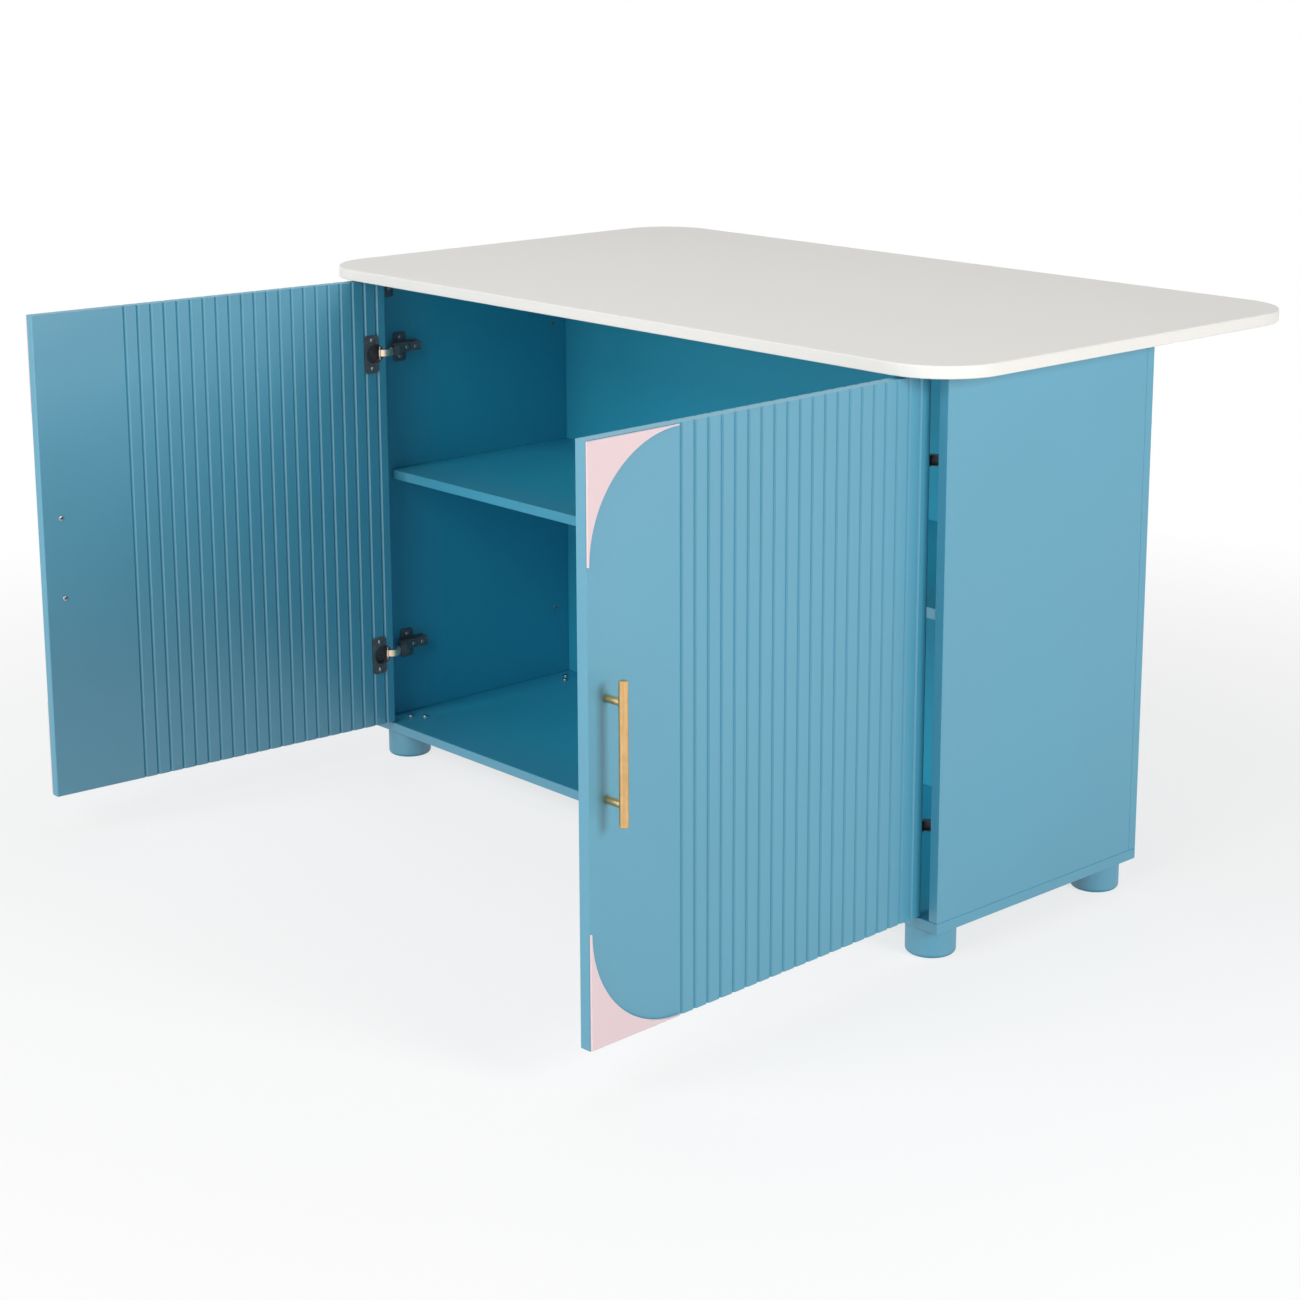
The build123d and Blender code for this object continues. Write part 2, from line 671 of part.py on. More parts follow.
for side, hand in hands.items():
    along, outward = door_axes(side)
    door_plan = Plane(door_point(side, 0, 0, door_bottom), x_dir=along, z_dir=(0, 0, 1))

    # Door board, with vertical grooves on both faces and a plain band at its free edge
    with BuildPart() as door:
        with BuildSketch(door_plan):
            with Locations((door_width / 2, -hand * door_thickness / 2)):
                RectangleRounded(door_width, door_thickness, door_edge_radius)
            for count in range(outer_groove_count):
                with Locations((outer_groove_start + count * outer_groove_pitch, 0)):
                    Polygon(
                        (-groove_width / 2, 0),
                        (groove_width / 2, 0),
                        (0, -hand * groove_depth),
                        align=None,
                        mode=Mode.SUBTRACT,
                    )
            for count in range(inner_groove_count):
                groove_edge = inner_groove_start + count * inner_groove_pitch
                with Locations((groove_edge, -hand * door_thickness)):
                    Polygon(
                        (-groove_width / 2, 0),
                        (groove_width / 2, 0),
                        (0, hand * groove_depth),
                        align=None,
                        mode=Mode.SUBTRACT,
                    )
        extrude(amount=door_height)
        for height in hinge_heights.values():
            cup_bore = inner_face(side, cup_centre_edge, height)
            drill(cup_bore, cup_diameter + 2 * bore_clearance, cup_depth + cup_bore_spare)
            for up in flange_screw_rises:
                pilot = inner_face(side, flange_screw_edge, height + up)
                drill(pilot, screw_diameter + 2 * screw_clearance, screw_bite)
        for height in handle_post_heights:
            passage = inner_face(side, handle_edge, height)
            drill(passage, handle_screw_diameter + 2 * bore_clearance, door_thickness)
    write(door, f"{side}_door")

    # Raised corner pieces, hollowed by a quarter arc
    corner_heights = {"lower": (door_bottom, hand), "upper": (door_bottom + door_height, -hand)}
    corner_tip = corner_reach - corner_arc_radius
    arc_mid = corner_reach - corner_arc_radius * cos(radians(45))
    for level, (height, up) in corner_heights.items():
        with BuildPart() as corner_piece:
            free_corner = Plane(door_point(side, door_width, 0, height), x_dir=-along, z_dir=outward)
            with BuildSketch(free_corner):
                with BuildLine():
                    ThreePointArc(
                        (corner_reach, up * corner_tip),
                        (arc_mid, up * arc_mid),
                        (corner_tip, up * corner_reach),
                    )
                    Polyline(
                        (corner_tip, up * corner_reach),
                        (corner_edge_inset, up * corner_reach),
                        (corner_edge_inset, up * corner_edge_inset),
                        (corner_reach, up * corner_edge_inset),
                        (corner_reach, up * corner_tip),
                    )
                make_face()
            extrude(amount=corner_thickness)
        write(corner_piece, f"{side}_door_{level}_corner")

    # Handle: a round bar on two posts, held by screws from the inner face
    bar_foot = door_point(side, handle_edge, handle_stand_off, door_mid_height - handle_bar_length / 2)
    with BuildPart() as handle_bar:
        with BuildSketch(Plane(bar_foot)):
            Circle(handle_bar_diameter / 2)
        extrude(amount=handle_bar_length)
        chamfer(handle_bar.edges().filter_by(GeomType.CIRCLE), handle_bar_chamfer)
    write(handle_bar, f"{side}_handle_bar")

    with BuildPart() as handle_posts:
        for height in handle_post_heights:
            with BuildSketch(outer_face(side, handle_edge, height)):
                Circle(handle_post_diameter / 2)
            extrude(amount=handle_stand_off)
            drill(
                inner_face(side, handle_edge, height),
                handle_screw_diameter + 2 * screw_clearance,
                door_thickness + handle_screw_bite + seat_clearance,
            )
        with BuildSketch(Plane(bar_foot)):
            Circle(handle_bar_diameter / 2 + saddle_clearance)
        extrude(amount=handle_bar_length, mode=Mode.SUBTRACT)
    write(handle_posts, f"{side}_handle_posts")

    with BuildPart() as handle_screws:
        for height in handle_post_heights:
            screw(
                inner_face(side, handle_edge, height),
                handle_screw_diameter,
                door_thickness + handle_screw_bite,
                handle_screw_head_diameter,
                handle_screw_head_height,
            )
    write(handle_screws, f"{side}_handle_screws")

    # Hinge cups, their pins and their screws
    for level, height in hinge_heights.items():
        with BuildPart() as cup:
            with BuildSketch(inner_face(side, cup_centre_edge, height)):
                Circle(cup_radius)
            extrude(amount=-cup_depth)
            with BuildSketch(inner_face(side, flange_mid_edge, height)):
                RectangleRounded(flange_width, flange_height, flange_corner_radius)
            extrude(amount=flange_thickness)
            mouth = inner_face(side, cup_centre_edge, height, flange_thickness)
            drill(mouth, 2 * cup_inner_radius, flange_thickness + cup_inner_depth)
            for up in flange_screw_rises:
                hole = inner_face(side, flange_screw_edge, height + up, flange_thickness)
                drill(hole, screw_diameter + 2 * screw_clearance, flange_thickness)
            with BuildSketch(inner_face(side, cup_centre_edge - cup_radius, height)):
                Rectangle(2 * cup_notch_width, link_height + 2 * cup_notch_side_gap)
            extrude(amount=-cup_notch_depth, mode=Mode.SUBTRACT)
            pin_middle = door_point(side, cup_pivot_edge, cup_pivot_sink - door_thickness, height)
            with BuildSketch(Plane(pin_middle)):
                Circle(hinge_pin_diameter / 2 + pin_clearance)
            extrude(amount=cup_radius, both=True, mode=Mode.SUBTRACT)
        write(cup, f"{side}_{level}_hinge_cup")

    with BuildPart() as cup_pins:
        for height in hinge_heights.values():
            pin_middle = door_point(side, cup_pivot_edge, cup_pivot_sink - door_thickness, height)
            with BuildSketch(Plane(pin_middle)):
                Circle(hinge_pin_diameter / 2)
            extrude(amount=cup_pin_length / 2, both=True)
    write(cup_pins, f"{side}_cup_pins")

    with BuildPart() as cup_screws:
        for height in hinge_heights.values():
            for up in flange_screw_rises:
                screw(
                    inner_face(side, flange_screw_edge, height + up, flange_thickness),
                    screw_diameter,
                    flange_thickness + screw_bite - seat_clearance,
                    screw_head_diameter,
                    screw_head_height,
                )
    write(cup_screws, f"{side}_cup_screws")
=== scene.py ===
# %% [markdown]
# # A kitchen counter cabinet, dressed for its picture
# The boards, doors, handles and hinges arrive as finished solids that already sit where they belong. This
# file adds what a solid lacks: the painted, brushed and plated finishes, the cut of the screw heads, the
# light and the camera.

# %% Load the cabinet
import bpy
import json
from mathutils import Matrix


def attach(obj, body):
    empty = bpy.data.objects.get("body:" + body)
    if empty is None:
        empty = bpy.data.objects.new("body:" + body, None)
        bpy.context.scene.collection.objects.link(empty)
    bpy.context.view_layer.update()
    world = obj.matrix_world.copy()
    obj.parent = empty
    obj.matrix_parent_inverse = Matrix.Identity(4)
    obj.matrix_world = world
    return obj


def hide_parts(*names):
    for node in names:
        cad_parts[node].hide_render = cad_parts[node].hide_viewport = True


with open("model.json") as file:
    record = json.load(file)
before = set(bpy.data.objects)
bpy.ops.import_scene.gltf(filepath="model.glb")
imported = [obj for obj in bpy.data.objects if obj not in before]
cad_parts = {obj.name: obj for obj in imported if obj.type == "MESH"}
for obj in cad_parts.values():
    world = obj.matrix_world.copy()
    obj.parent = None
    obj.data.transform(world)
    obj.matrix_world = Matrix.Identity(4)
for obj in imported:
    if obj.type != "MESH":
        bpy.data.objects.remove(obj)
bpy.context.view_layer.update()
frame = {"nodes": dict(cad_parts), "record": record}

nodes = frame["nodes"]
print("solid pieces:", len(nodes))

# %% [markdown]
# ## The camera
# The picture was taken from the front right, a little above the worktop, with a long lens. A camera can be
# aimed with a Track To constraint, but the spot and the angles are known here, so they are set directly.
# Upright edges stay nearly parallel in the picture because the lens was shifted downwards, so a small part
# of that shift is kept and the rest is a tilt. The focal length was measured in the picture's own pixels,
# so it is scaled to the width of the sensor.

# %% Camera
import bpy
from math import radians

photo_width = 1300
photo_focal = 2633.5
sensor_width = 36.0
shift_right = -0.0188
shift_up = -0.12
view_reach = 100.0
camera_spot = (2.9103, -2.6387, 1.4458)
camera_tilt = radians(90 - 12.786)
camera_roll = radians(0.07)
camera_turn = radians(47.262)

lens = bpy.data.cameras.new("camera")
lens.sensor_width = sensor_width
lens.lens = photo_focal / photo_width * sensor_width
lens.shift_x = shift_right
lens.shift_y = shift_up
lens.clip_end = view_reach
camera = bpy.data.objects.new("camera", lens)
camera.location = camera_spot
camera.rotation_euler = (camera_tilt, camera_roll, camera_turn)
bpy.context.scene.collection.objects.link(camera)
bpy.context.scene.camera = camera
print("focal length:", round(lens.lens, 2), "mm")

# %% [markdown]
# ## Building a material from nodes
# Every finish below is a small net of nodes. Adding nodes and links one at a time takes many lines, so one
# helper adds a node and fills its sockets: a plain value is set on the socket, and an output of another
# node is linked to it. A second helper starts an empty material.

# %% A helper that adds nodes
def add_node(tree, kind, inputs=None, **settings):
    """Add a node, choose its settings, then set or link its inputs by name or number."""
    node = tree.nodes.new(kind)
    for name, value in settings.items():
        setattr(node, name, value)
    for name, value in (inputs or {}).items():
        if isinstance(value, bpy.types.NodeSocket):
            tree.links.new(value, node.inputs[name])
        else:
            node.inputs[name].default_value = value
    return node


def new_finish(name):
    """An empty material, its node tree and its output node."""
    finish = bpy.data.materials.new(name)
    finish.use_nodes = True
    finish.node_tree.nodes.clear()
    output = finish.node_tree.nodes.new("ShaderNodeOutputMaterial")
    return finish, finish.node_tree, output


print("node helpers ready")

# %% [markdown]
# Four kinds of node come back in almost every finish: arithmetic, a change of range, noise and a mix of
# two colours. Each gets a short helper that returns the socket to go on with. A Mix node has sockets for
# numbers, vectors and colours, and its colours are inputs 6 and 7 and output 2.

# %% Helpers for the nodes used most
def compute(tree, operation, *values):
    """One step of arithmetic on numbers or outputs."""
    return add_node(tree, "ShaderNodeMath", dict(enumerate(values)), operation=operation).outputs[0]


def remap(tree, value, source, target=(0.0, 1.0)):
    """A value moved from one range to another, and held inside the second."""
    before = {"From Min": source[0], "From Max": source[1]}
    after = {"To Min": target[0], "To Max": target[1]}
    return add_node(tree, "ShaderNodeMapRange", {"Value": value, **before, **after}).outputs[0]


def noise(tree, place, scale, detail=2.0):
    """Soft random values between zero and one, finer with a larger scale."""
    inputs = {"Vector": place, "Scale": scale, "Detail": detail}
    return add_node(tree, "ShaderNodeTexNoise", inputs).outputs["Fac"]


def mix_colours(tree, factor, first, second, blend="MIX"):
    """The first colour where the factor is zero, and the blend with the second where it is one."""
    inputs = {0: factor, 6: first, 7: second}
    return add_node(tree, "ShaderNodeMix", inputs, data_type="RGBA", blend_type=blend).outputs[2]


print("helpers for arithmetic, ranges, noise and colours ready")

# %% [markdown]
# ## The white surround
# The cabinet stands in a white studio. The surround could be made bright with more light, but then the
# paint would wash out. Instead the world looks white to the camera and in reflections, while the light
# that it sends to the paint keeps a low level.

# %% White surround
surround_light = 0.15
pure_white = (1, 1, 1, 1)


def seen_directly(tree):
    """One where a ray comes from the camera, a reflection or a clear surface, else zero."""
    path = add_node(tree, "ShaderNodeLightPath")
    seen = path.outputs["Is Camera Ray"]
    for ray in ("Is Glossy Ray", "Is Transmission Ray"):
        seen = compute(tree, "MAXIMUM", seen, path.outputs[ray])
    return seen


world = bpy.data.worlds.new("white_studio")
world.use_nodes = True
sky = world.node_tree
sky.nodes.clear()
lighting = add_node(sky, "ShaderNodeBackground", {"Color": pure_white, "Strength": surround_light})
backdrop = add_node(sky, "ShaderNodeBackground", {"Color": pure_white, "Strength": 1.0})
layers = {0: seen_directly(sky), 1: lighting.outputs[0], 2: backdrop.outputs[0]}
surround = add_node(sky, "ShaderNodeMixShader", layers)
add_node(sky, "ShaderNodeOutputWorld", {"Surface": surround.outputs[0]})
bpy.context.scene.world = world
print("surround light:", surround_light)

# %% [markdown]
# ## The floor
# The floor is one large sheet of pale paper. Near the cabinet it shows enough real light to keep the soft
# shadow, and further away it fades to the white of the surround, so no horizon shows. The fade follows the
# distance from the middle of the floor. A sheet that curves up behind the cabinet would hide the horizon
# too, but it would stand in the way of a view from behind.

# %% Floor
floor_half = 9.0
floor_white = (0.86, 0.86, 0.86, 1)
floor_glow = 0.72
shadow_reach = 1.1
fade_reach = 2.4

floor_mesh = bpy.data.meshes.new("floor")
corners = [(floor_half * x, floor_half * y, 0) for x, y in ((-1, -1), (1, -1), (1, 1), (-1, 1))]
floor_mesh.from_pydata(corners, [], [(0, 1, 2, 3)])
floor = bpy.data.objects.new("floor", floor_mesh)
bpy.context.scene.collection.objects.link(floor)

floor_finish, tree, output = new_finish("studio_floor")
paper = add_node(tree, "ShaderNodeBsdfDiffuse", {"Color": floor_white})
glow = add_node(tree, "ShaderNodeEmission", {"Color": pure_white, "Strength": 1.0})
place = add_node(tree, "ShaderNodeTexCoord").outputs["Object"]
away = add_node(tree, "ShaderNodeVectorMath", {0: place}, operation="LENGTH").outputs["Value"]
fade = remap(tree, away, (shadow_reach, fade_reach), (floor_glow, 1.0))
share = compute(tree, "MULTIPLY", seen_directly(tree), fade)
sheet = add_node(tree, "ShaderNodeMixShader", {0: share, 1: paper.outputs[0], 2: glow.outputs[0]})
tree.links.new(sheet.outputs[0], output.inputs["Surface"])
floor_mesh.materials.append(floor_finish)
print("floor:", 2 * floor_half, "m square")

# %% [markdown]
# ## Lamps
# The shadow of the right handle falls a little downwards and towards the free edge of its door, with soft
# borders. So the main lamp is a soft box well to the right, slightly behind the cabinet's front and not
# much higher than the worktop. The shelf inside is almost as bright as the wall behind it, so a wide soft
# box stands high in front and shines down under the worktop. A lower one lights the edges that face the
# front, a weak one overhead levels the worktop, and one behind the cabinet, kept lower than the worktop so
# that the worktop doesn't mirror it, shows the back. One sun lamp would be simpler, but its shadows are
# hard.

# %% Soft boxes
from mathutils import Vector


def soft_box(name, spot, aim, size, watts):
    """A rectangular area lamp at a spot, turned to face its aim, with a width and a height."""
    lamp = bpy.data.lights.new(name, "AREA")
    lamp.shape = "RECTANGLE"
    lamp.size, lamp.size_y = size
    lamp.energy = watts
    box = bpy.data.objects.new(name, lamp)
    box.location = spot
    box.rotation_euler = (Vector(aim) - Vector(spot)).to_track_quat("-Z", "Y").to_euler()
    bpy.context.scene.collection.objects.link(box)


soft_box("right_soft_box", spot=(4.1, 0.25, 1.75), aim=(0.6, -0.4, 0.45), size=(1.3, 1.3), watts=92)
soft_box("front_soft_box", spot=(0.0, -5.0, 1.5), aim=(0.0, 0.0, 0.5), size=(4.4, 1.8), watts=80)
soft_box("high_soft_box", spot=(0.0, -4.0, 3.2), aim=(0.0, 0.0, 0.5), size=(4.4, 1.8), watts=118)
soft_box("top_soft_box", spot=(-0.5, 0.3, 3.2), aim=(-0.1, 0.2, 0.85), size=(2.0, 2.0), watts=16)
soft_box("rear_soft_box", spot=(-3.6, 2.8, 0.45), aim=(-0.4, 0.3, 0.45), size=(2.6, 0.7), watts=85)
print("lamps:", [light.name for light in bpy.data.lights])

# %% [markdown]
# ## Painted boards
# The carcass, the doors and the feet are sprayed with a satin blue lacquer. A single colour would look
# like plastic, so the paint gets three things: a slow drift of tone over a board, a fine grain of tiny
# specks, and the low ripple that a spray gun leaves. The noise is read in object space, which is the same
# for every board, so the finish runs evenly across the cabinet and needs no unwrapping. The drift and the
# specks come first.

# %% Tone of a paint
cloud_scale = 3.0
cloud_detail = 3.0
speck_scale = 420.0
speck_detail = 2.0
speck_share = 0.35
tone_span = (0.35, 1.0)


def cloudy_tone(tree, cloud, place, colour, drift):
    """A colour that drifts by a small share, with slow clouds and fine specks."""
    speck = noise(tree, place, speck_scale, speck_detail)
    tone = compute(tree, "MULTIPLY_ADD", speck, speck_share, cloud)
    darker = tuple(part * (1 - drift) for part in colour)
    lighter = tuple(min(part * (1 + drift), 1.0) for part in colour)
    return mix_colours(tree, remap(tree, tone, tone_span), (*darker, 1), (*lighter, 1))


print("clouds about", round(1 / cloud_scale, 2), "m wide")

# %% [markdown]
# Inside the carcass the blue is painted lighter, a painted light that lifts the shaded inside, and its
# shine is lowered, a painted shade. A board has one material for both of its faces, and splitting every
# board in two would spoil the solids. The inside is a plain box between the boards, so a few comparisons
# of the point being shaded with that box find it.

# %% Where the inside is
inside_spare = 0.001
inside_fade = 0.15


def edge_of(name, axis, choose):
    """The lowest or highest place that a piece reaches along an axis."""
    return choose(corner[axis] for corner in nodes[name].bound_box)


inside_half = edge_of("right_side_panel", 0, min)
inside_front = edge_of("right_side_panel", 1, min)
inside_back = edge_of("back_panel", 1, min)
inside_floor = edge_of("bottom_panel", 2, max)


def depth_inside(tree, place):
    """Zero outside the carcass, rising from its front edge to one some way inside."""
    x, y, z = add_node(tree, "ShaderNodeSeparateXYZ", {0: place}).outputs
    depth = remap(tree, y, (inside_front, inside_front + inside_fade))
    limits = [
        (inside_half + inside_spare, compute(tree, "ABSOLUTE", x)),
        (inside_back + inside_spare, y),
        (z, inside_floor - inside_spare),
    ]
    for larger, smaller in limits:
        held = compute(tree, "GREATER_THAN", larger, smaller)
        depth = compute(tree, "MULTIPLY", depth, held)
    return depth


print("inside:", round(2 * inside_half, 3), "m wide and", round(inside_back - inside_front, 3), "m deep")

# %% [markdown]
# The shine is lowered in the grooves and corners, a painted shade that keeps the groove flanks from
# lighting up. Painting that by hand on eighty grooves would take long, so the Ambient Occlusion node finds
# the places with a wall close by and lowers the shine there. The inside of the carcass loses shine in the
# same step, also a painted shade.

# %% Shine of a paint
crevice_reach = 0.008
crevice_rays = 6
openness_span = (0.5, 0.85)
shine_span = (0.1, 0.5)
mm_per_metre = 1000


def paint_shine(tree, depth, shine_inside):
    """Full shine on an open face, less in a groove and less inside the carcass."""
    reach = {"Distance": crevice_reach}
    # Painted shade: less shine where a wall is close, in grooves and corners.
    openness = add_node(tree, "ShaderNodeAmbientOcclusion", reach, samples=crevice_rays).outputs["AO"]
    shine = remap(tree, openness, openness_span, shine_span)
    kept = remap(tree, depth, (0.0, 1.0), (1.0, shine_inside))
    return compute(tree, "MULTIPLY", shine, kept)


print("grooves dulled within", crevice_reach * mm_per_metre, "mm of a wall")

# %% [markdown]
# The whole lacquer joins the tone, the painted light and shade inside the carcass, the shine and the
# ripple in one Principled shader. The ripple could be modelled, but it is far finer than any mesh here, so
# a Bump node is enough.

# %% Lacquer
cloud_span = (0.3, 0.7)
gloss_play = 0.03
peel_scale = 650.0
peel_detail = 1.0
peel_height = 0.0004


def lacquer(name, colour, drift, roughness, ripple, glaze, shine_inside=1.0, inside_painted_light=(1, 1, 1)):
    """Sprayed paint: a drifting colour, uneven gloss, a fine ripple, a glaze index, and painted light and
    shade inside the carcass.
    """
    finish, tree, output = new_finish(name)
    place = add_node(tree, "ShaderNodeTexCoord").outputs["Object"]
    cloud = noise(tree, place, cloud_scale, cloud_detail)
    depth = depth_inside(tree, place)
    tone = cloudy_tone(tree, cloud, place, colour, drift)
    peel = noise(tree, place, peel_scale, peel_detail)
    relief = {"Strength": ripple, "Distance": peel_height, "Height": peel}
    look = {
        # Painted light: inside the carcass the colour is multiplied by a lighter tint.
        "Base Color": mix_colours(tree, depth, tone, (*inside_painted_light, 1), "MULTIPLY"),
        "Roughness": remap(tree, cloud, cloud_span, (roughness - gloss_play, roughness + gloss_play)),
        "Normal": add_node(tree, "ShaderNodeBump", relief).outputs[0],
        "IOR": glaze,
        "Specular IOR Level": paint_shine(tree, depth, shine_inside),
    }
    shader = add_node(tree, "ShaderNodeBsdfPrincipled", look)
    tree.links.new(shader.outputs[0], output.inputs["Surface"])
    return finish


print("lacquer ready, with a ripple of", peel_height * mm_per_metre, "mm")

# %% [markdown]
# Three paints are mixed from this recipe: the blue of the cabinet, the white of the worktop and the pale
# pink of the raised corner pieces. Colours are easiest to judge as screen values from 0 to 255, but
# shaders reckon in linear light, so one helper turns the first into the second.

# %% Three paints
from mathutils import Color

screen_white = 255


def from_screen(red, green, blue):
    """A colour given as screen values, as the linear values that shaders use."""
    shares = [value / screen_white for value in (red, green, blue)]
    return tuple(Color(shares).from_srgb_to_scene_linear())


# Painted light and shade: the blue is lifted and its shine lowered inside the carcass.
blue_lacquer = lacquer(
    "blue_lacquer", from_screen(48, 141, 169), drift=0.035, roughness=0.46, ripple=0.06, glaze=2.2,
    shine_inside=0.25, inside_painted_light=(0.9, 1.27, 1.23),
)
white_worktop = lacquer(
    "white_worktop", from_screen(231, 228, 223), drift=0.02, roughness=0.38, ripple=0.05, glaze=1.5,
)
pink_lacquer = lacquer(
    "pink_lacquer", from_screen(228, 203, 206), drift=0.03, roughness=0.42, ripple=0.06, glaze=1.5,
)
print("paints:", blue_lacquer.name, white_worktop.name, pink_lacquer.name)

# %% [markdown]
# ## Metals
# The handles are satin brass, brushed along the bar. Brushing leaves fine parallel scratches, which is
# noise stretched a lot along one direction. A picture of scratches would do too, but it would need
# unwrapping, and noise in object space needs none. The same recipe serves the hinges and the screws.

# %% Brushed and plated metal
grain_detail = 4.0
grain_span = (0.3, 0.7)
stain_scale = 60.0
wear_span = (0.12, 0.4)
polish_play = 0.07
scratch_height = 0.0002


def brushed_metal(name, colour, tint, roughness, stretch, scratch, share=1.0):
    """Metal with scratches: noise squeezed by the stretch on each axis tints it and roughens it."""
    finish, tree, output = new_finish(name)
    place = add_node(tree, "ShaderNodeTexCoord").outputs["Object"]
    lines = add_node(tree, "ShaderNodeMapping", {"Vector": place, "Scale": stretch}).outputs[0]
    grain = noise(tree, lines, 1.0, grain_detail)
    wear = compute(tree, "MULTIPLY", grain, noise(tree, place, stain_scale))
    relief = {"Strength": scratch, "Distance": scratch_height, "Height": grain}
    look = {
        "Base Color": mix_colours(tree, remap(tree, wear, wear_span), (*tint, 1), (*colour, 1)),
        "Metallic": share,
        "Roughness": remap(tree, grain, grain_span, (roughness - polish_play, roughness + polish_play)),
        "Normal": add_node(tree, "ShaderNodeBump", relief).outputs[0],
    }
    shader = add_node(tree, "ShaderNodeBsdfPrincipled", look)
    tree.links.new(shader.outputs[0], output.inputs["Surface"])
    return finish


print("metal ready, with scratches of", scratch_height * mm_per_metre, "mm")

# %% [markdown]
# Four metals come from this recipe. The brass is stretched most, along the upright bar of a handle, and
# the nickel of the hinge links less. The zinc of the screws has no direction. The cups, arms and plates of
# the hinges have a dark oxide coat, which is partly a paint and partly a metal, so its share of metal is
# lower.

# %% Four metals
brushed_brass = brushed_metal(
    "brushed_brass", from_screen(226, 188, 134), from_screen(208, 166, 110),
    roughness=0.34, stretch=(900, 900, 25), scratch=0.10,
)
gunmetal_steel = brushed_metal(
    "gunmetal_steel", from_screen(112, 113, 116), from_screen(88, 89, 92),
    roughness=0.46, stretch=(300, 300, 300), scratch=0.06, share=0.4,
)
nickel_steel = brushed_metal(
    "nickel_steel", from_screen(236, 220, 198), from_screen(222, 202, 176),
    roughness=0.42, stretch=(700, 700, 60), scratch=0.06,
)
zinc_steel = brushed_metal(
    "zinc_steel", from_screen(190, 191, 192), from_screen(150, 152, 154),
    roughness=0.32, stretch=(400, 400, 400), scratch=0.05,
)
print("metals:", brushed_brass.name, gunmetal_steel.name, nickel_steel.name, zinc_steel.name)

# %% [markdown]
# ## Giving each piece its finish
# Every piece needs one of these seven finishes. They could be given out by hand, but the record of the
# cabinet already names a finish for every piece, so they go on in one loop.

# %% Finish every piece
finish_named = {
    "blue_lacquer": blue_lacquer,
    "white_worktop": white_worktop,
    "pink_lacquer": pink_lacquer,
    "brushed_brass": brushed_brass,
    "gunmetal_steel": gunmetal_steel,
    "nickel_steel": nickel_steel,
    "zinc_steel": zinc_steel,
}
finish_of = {piece["node"]: piece["material_slot"] for piece in frame["record"]["subparts"]}
for name, piece in nodes.items():
    piece.data.materials.clear()
    piece.data.materials.append(finish_named[finish_of[name]])
print("finished:", len(nodes), "pieces")

# %% [markdown]
# ## Screws and bolts
# In the solids a screw is a plain round head on a plain shank. The real heads are domed, with a cross or a
# hexagon cut in for the tool, and those small cuts catch the eye on a pale board. Each head could be
# placed by hand, but the solids already hold every spot, direction and size, so these are measured. A
# piece holds several screws in one mesh, so first its points are sorted into separate solids, in the
# mesh's own order. A set has no fixed order, so it only remembers which points were found, and every run
# gives the same list.

# %% Separate the solids of a piece
import bmesh
import numpy as np

weld_distance = 1e-6


def loose_solids(node):
    """The points of each separate solid in a piece."""
    shape = bmesh.new()
    shape.from_mesh(nodes[node].data)
    bmesh.ops.remove_doubles(shape, verts=shape.verts, dist=weld_distance)
    found = set()
    solids = []
    for start in shape.verts:
        if start in found:
            continue
        found.add(start)
        reached = [start]
        points = []
        while reached:
            corner = reached.pop()
            points.append(tuple(corner.co))
            for edge in corner.link_edges:
                other = edge.other_vert(corner)
                if other not in found:
                    found.add(other)
                    reached.append(other)
        solids.append(np.array(points))
    shape.free()
    return solids


print("foot bolts:", len(loose_solids("foot_bolts")))

# %% [markdown]
# A screw is round, so its points spread equally in two directions, and the odd direction out is its axis.
# The wider end is the head, and the lowest points of the widest ring are its seat. A measured direction is
# never quite exact, and for an upright screw the smallest error would turn the head, so parts of a
# direction that are almost zero are set to zero.

# %% Measure a screw
same_level = 1e-5
almost_zero = 1e-6
widest_share = 0.98


def measure_screw(points):
    """Seat of the head, direction out of the head, head and shank radius, head height and shank length."""
    middle = points.mean(axis=0)
    spread, directions = np.linalg.eigh(np.cov((points - middle).T))
    odd = 0 if spread[1] - spread[0] > spread[2] - spread[1] else 2
    axis = directions[:, odd]
    along = (points - middle) @ axis
    off = np.linalg.norm(points - middle - np.outer(along, axis), axis=1)
    if off[along > along.max() - same_level].max() < off[along < along.min() + same_level].max():
        axis = -axis
        along = -along
    head_radius = off.max()
    seat = along[off > head_radius * widest_share].min()
    return {
        "seat": Vector(middle + axis * seat),
        "out": Vector(np.where(np.abs(axis) < almost_zero, 0.0, axis)),
        "head_radius": head_radius,
        "head_height": along.max() - seat,
        "shank_radius": off[along < along.min() + same_level].max(),
        "shank_length": seat - along.min(),
    }


for name in ("right_cup_screws", "foot_bolts"):
    measured = measure_screw(loose_solids(name)[0])
    lengths = {key: value for key, value in measured.items() if isinstance(value, float)}
    print(name, {key: round(value * mm_per_metre, 2) for key, value in lengths.items()}, "in mm")

# %% [markdown]
# A turned part is an outline spun round an axis. The Screw modifier does that too, but the outline here
# has few points, so the rings and their faces are written out directly and the mesh is closed from the
# start.

# %% Turn an outline
from math import cos, pi, sin

turned_steps = 40


